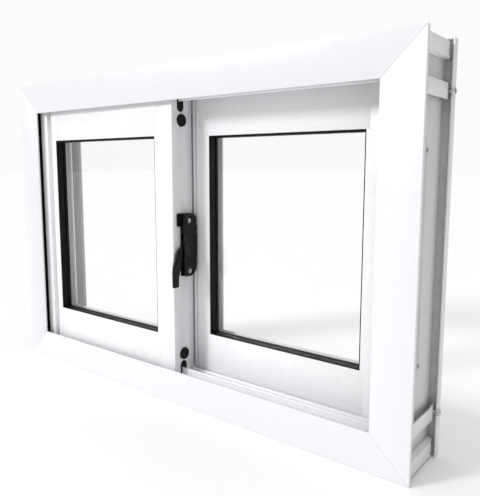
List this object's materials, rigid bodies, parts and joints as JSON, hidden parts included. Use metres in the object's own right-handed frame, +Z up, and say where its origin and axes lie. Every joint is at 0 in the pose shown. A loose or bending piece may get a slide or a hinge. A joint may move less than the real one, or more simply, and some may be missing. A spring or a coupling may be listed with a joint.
{
  "type": "sliding window",
  "caption": "Two-track horizontal sliding window: white metal frame with mitred trims, two glazed sashes on rollers, interlocking meeting stiles and a sprung black latch.",
  "frame": {"origin": "middle of the footprint, on the lower edge of the trims", "axes": "+X along the window, +Z up, -Y towards the room side with the latch"},
  "size_m": [0.6044, 0.076, 0.4],
  "materials": {
    "white_trim": "smooth white powder coat",
    "white_frame": "smooth white powder coat",
    "white_sash": "smooth white powder coat",
    "strap_metal": "white coated sheet",
    "zinc_steel": "zinc plated",
    "seal_rubber": "black extruded rubber",
    "pile": "grey brush pile",
    "black_nylon": "moulded, matt",
    "black_latch": "satin black coating",
    "glass": "clear float glass"
  },
  "bodies": {
    "frame": {"end_plates_left": "strap_metal", "end_plates_right": "strap_metal", "frame_corner_screws": "zinc_steel", "front_trim_bottom": "white_trim", "front_trim_left": "white_trim", "front_trim_right": "white_trim", "front_trim_top": "white_trim", "head_stop_left": "black_nylon", "head_stop_right": "black_nylon", "head_track": "white_frame", "jamb_left": "white_frame", "jamb_right": "white_frame", "jamb_seal_left": "seal_rubber", "jamb_seal_right": "seal_rubber", "rear_trim_bottom": "white_trim", "rear_trim_left": "white_trim", "rear_trim_right": "white_trim", "rear_trim_top": "white_trim", "sill_track": "white_frame", "strap_left_lower": "strap_metal", "strap_left_upper": "strap_metal", "strap_right_lower": "strap_metal", "strap_right_upper": "strap_metal", "strap_screws": "zinc_steel"},
    "front_sash": {"front_sash_bottom_rail": "white_sash", "front_sash_corner_screws": "zinc_steel", "front_sash_end_guides": "black_nylon", "front_sash_gasket": "seal_rubber", "front_sash_glass": "glass", "front_sash_hole_plugs": "black_nylon", "front_sash_jamb_stile": "white_sash", "front_sash_meeting_stile": "white_sash", "front_sash_pile": "pile", "front_sash_roller_axles": "zinc_steel", "front_sash_roller_housings": "black_nylon", "front_sash_top_rail": "white_sash", "latch_case": "black_latch", "latch_pin": "zinc_steel", "latch_screws": "zinc_steel", "latch_spring": "zinc_steel"},
    "front_inner_wheel": {"front_sash_wheel_inner": "black_nylon"},
    "front_outer_wheel": {"front_sash_wheel_outer": "black_nylon"},
    "rear_sash": {"interlock_pile": "pile", "keeper": "zinc_steel", "keeper_screws": "zinc_steel", "rear_sash_bottom_rail": "white_sash", "rear_sash_corner_screws": "zinc_steel", "rear_sash_end_guides": "black_nylon", "rear_sash_gasket": "seal_rubber", "rear_sash_glass": "glass", "rear_sash_hole_plugs": "black_nylon", "rear_sash_jamb_stile": "white_sash", "rear_sash_meeting_stile": "white_sash", "rear_sash_pile": "pile", "rear_sash_roller_axles": "zinc_steel", "rear_sash_roller_housings": "black_nylon", "rear_sash_top_rail": "white_sash"},
    "latch_lever": {"latch_lever": "black_latch"},
    "rear_inner_wheel": {"rear_sash_wheel_inner": "black_nylon"},
    "rear_outer_wheel": {"rear_sash_wheel_outer": "black_nylon"}
  },
  "joints": [
    {"name": "front_sash_slide", "type": "slide", "parent": "frame", "child": "front_sash", "axis": [1, 0, 0], "range_m": [0, 0.256]},
    {"name": "rear_sash_slide", "type": "slide", "parent": "frame", "child": "rear_sash", "axis": [1, 0, 0], "range_m": [-0.256, 0]},
    {"name": "latch_lever_turn", "type": "hinge", "parent": "front_sash", "child": "latch_lever", "pos_m": [0, -0.005, 0.192], "axis": [1, 0, 0], "range_deg": [0, 8], "stiffness_Nm_per_rad": 0.05, "springref_deg": -20.05},
    {"name": "front_outer_wheel_turn", "type": "hinge", "parent": "front_sash", "child": "front_outer_wheel", "pos_m": [-0.201, -0.015, 0.0442], "axis": [0, 1, 0], "continuous": true},
    {"name": "front_inner_wheel_turn", "type": "hinge", "parent": "front_sash", "child": "front_inner_wheel", "pos_m": [-0.061, -0.015, 0.0442], "axis": [0, 1, 0], "continuous": true},
    {"name": "rear_outer_wheel_turn", "type": "hinge", "parent": "rear_sash", "child": "rear_outer_wheel", "pos_m": [0.201, 0.0195, 0.0442], "axis": [0, 1, 0], "continuous": true},
    {"name": "rear_inner_wheel_turn", "type": "hinge", "parent": "rear_sash", "child": "rear_inner_wheel", "pos_m": [0.061, 0.0195, 0.0442], "axis": [0, 1, 0], "continuous": true}
  ],
  "couplings": [
    {"joint": "front_outer_wheel_turn", "follows": "front_sash_slide", "rad_per_m": 156.25},
    {"joint": "front_inner_wheel_turn", "follows": "front_sash_slide", "rad_per_m": 156.25},
    {"joint": "rear_outer_wheel_turn", "follows": "rear_sash_slide", "rad_per_m": 156.25},
    {"joint": "rear_inner_wheel_turn", "follows": "rear_sash_slide", "rad_per_m": 156.25}
  ]
}
